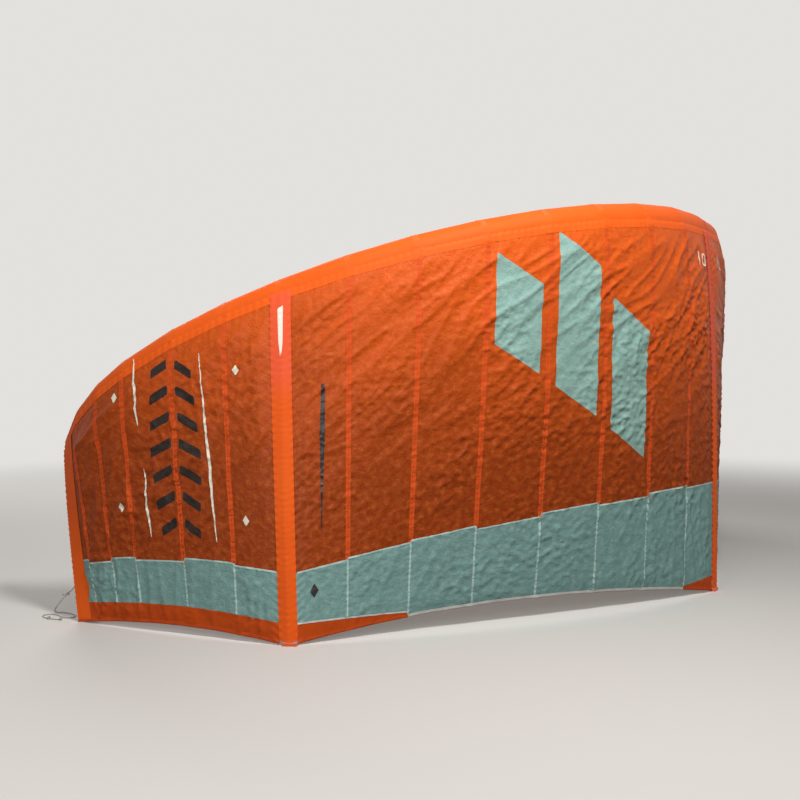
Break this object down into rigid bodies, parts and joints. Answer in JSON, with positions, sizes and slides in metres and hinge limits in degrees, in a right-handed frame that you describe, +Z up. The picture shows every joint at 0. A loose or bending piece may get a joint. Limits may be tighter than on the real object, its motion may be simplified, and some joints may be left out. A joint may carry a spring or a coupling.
{
  "type": "kitesurf kite",
  "caption": "Inflatable leading edge kite for kitesurfing: curved air tube with struts, panelled canopy, edge band, air hoses with pinch clips, valves, bridle tabs and a tip pigtail.",
  "frame": {"origin": "middle of the bounding box's underside, on the floor that the kite stands on", "axes": "+X along the span to the kite's right tip, +Y from the outer face of the canopy towards its hollow side, +Z up from trailing edge to leading edge"},
  "size_m": [4.299, 2.3721, 1.867],
  "materials": {
    "canopy_cloth": "matt ripstop",
    "edge_band_cloth": "matt ripstop",
    "patch_cloth": "matt",
    "hem_tape": "matt tape",
    "band_cloth": "matt woven polyester",
    "casing_cloth": "matt woven polyester",
    "bladder_film": "clear film",
    "scuff_pad": "rubberised webbing",
    "elbow_plastic": "moulded",
    "hose_silicone": "translucent silicone",
    "clip_plastic": "moulded",
    "valve_plastic": "moulded",
    "cap_plastic": "moulded",
    "stainless_steel": "satin",
    "webbing": "woven webbing",
    "pigtail_line": "braided line"
  },
  "bodies": {
    "kite": {"left_centre_bay_canopy": "canopy_cloth", "right_centre_bay_canopy": "canopy_cloth", "left_tip_bay_canopy": "canopy_cloth", "right_tip_bay_canopy": "canopy_cloth", "left_centre_bay_edge_band": "edge_band_cloth", "right_centre_bay_edge_band": "edge_band_cloth", "left_tip_bay_edge_band": "edge_band_cloth", "right_tip_bay_edge_band": "edge_band_cloth", "left_corner_patches": "patch_cloth", "right_corner_patches": "patch_cloth", "left_tip_patch": "patch_cloth", "right_tip_patch": "patch_cloth", "left_trailing_edge_hem": "hem_tape", "right_trailing_edge_hem": "hem_tape", "centre_strut_band": "band_cloth", "left_strut_band": "band_cloth", "right_strut_band": "band_cloth", "left_leading_edge_casing": "casing_cloth", "right_leading_edge_casing": "casing_cloth", "left_strut_casing": "casing_cloth", "right_strut_casing": "casing_cloth", "centre_strut_casing": "casing_cloth", "leading_edge_bladder": "bladder_film", "centre_strut_bladder": "bladder_film", "left_strut_bladder": "bladder_film", "right_strut_bladder": "bladder_film", "centre_foot_pad": "scuff_pad", "left_foot_pad": "scuff_pad", "right_foot_pad": "scuff_pad", "centre_hose_elbows": "elbow_plastic", "left_hose_elbows": "elbow_plastic", "right_hose_elbows": "elbow_plastic", "centre_hose": "hose_silicone", "left_hose": "hose_silicone", "right_hose": "hose_silicone", "inflate_valve": "valve_plastic", "deflate_valve": "valve_plastic", "inflate_valve_pin": "stainless_steel", "left_bridle_tabs": "webbing", "right_bridle_tabs": "webbing", "left_tip_tab": "webbing", "right_tip_tab": "webbing", "leash_loop": "webbing", "left_pigtail": "pigtail_line", "left_pigtail_knots": "pigtail_line"},
    "centre_clip": {"centre_hose_clip": "clip_plastic"},
    "left_clip": {"left_hose_clip": "clip_plastic"},
    "right_clip": {"right_hose_clip": "clip_plastic"},
    "inflate_cap": {"inflate_valve_cap": "cap_plastic"},
    "deflate_cap": {"deflate_valve_cap": "cap_plastic"},
    "leash_ring_body": {"leash_ring": "stainless_steel"}
  },
  "joints": [
    {"name": "centre_clip_slide", "type": "slide", "parent": "kite", "child": "centre_clip", "axis": [0, 0.0325, 0.9995], "range_m": [-0.008, 0.024]},
    {"name": "left_clip_slide", "type": "slide", "parent": "kite", "child": "left_clip", "axis": [0.0804, 0.0984, 0.9919], "range_m": [-0.008, 0.024]},
    {"name": "right_clip_slide", "type": "slide", "parent": "kite", "child": "right_clip", "axis": [-0.0804, 0.0984, 0.9919], "range_m": [-0.008, 0.024]},
    {"name": "inflate_cap_hinge", "type": "hinge", "parent": "kite", "child": "inflate_cap", "pos_m": [-0.15818, -0.9188, 1.75237], "axis": [0.0001, 0.2083, 0.9781], "range_deg": [0, 165]},
    {"name": "deflate_cap_turn", "type": "hinge", "parent": "kite", "child": "deflate_cap", "pos_m": [0.1393, -0.94154, 1.75721], "axis": [-0.049, 0.9769, -0.2081], "range_deg": [0, 90]},
    {"name": "leash_ring_swing", "type": "hinge", "parent": "kite", "child": "leash_ring_body", "pos_m": [-0.39175, -0.90367, 1.74694], "axis": [-0.9773, 0.204, -0.0567], "range_deg": [-110, 5]}
  ]
}
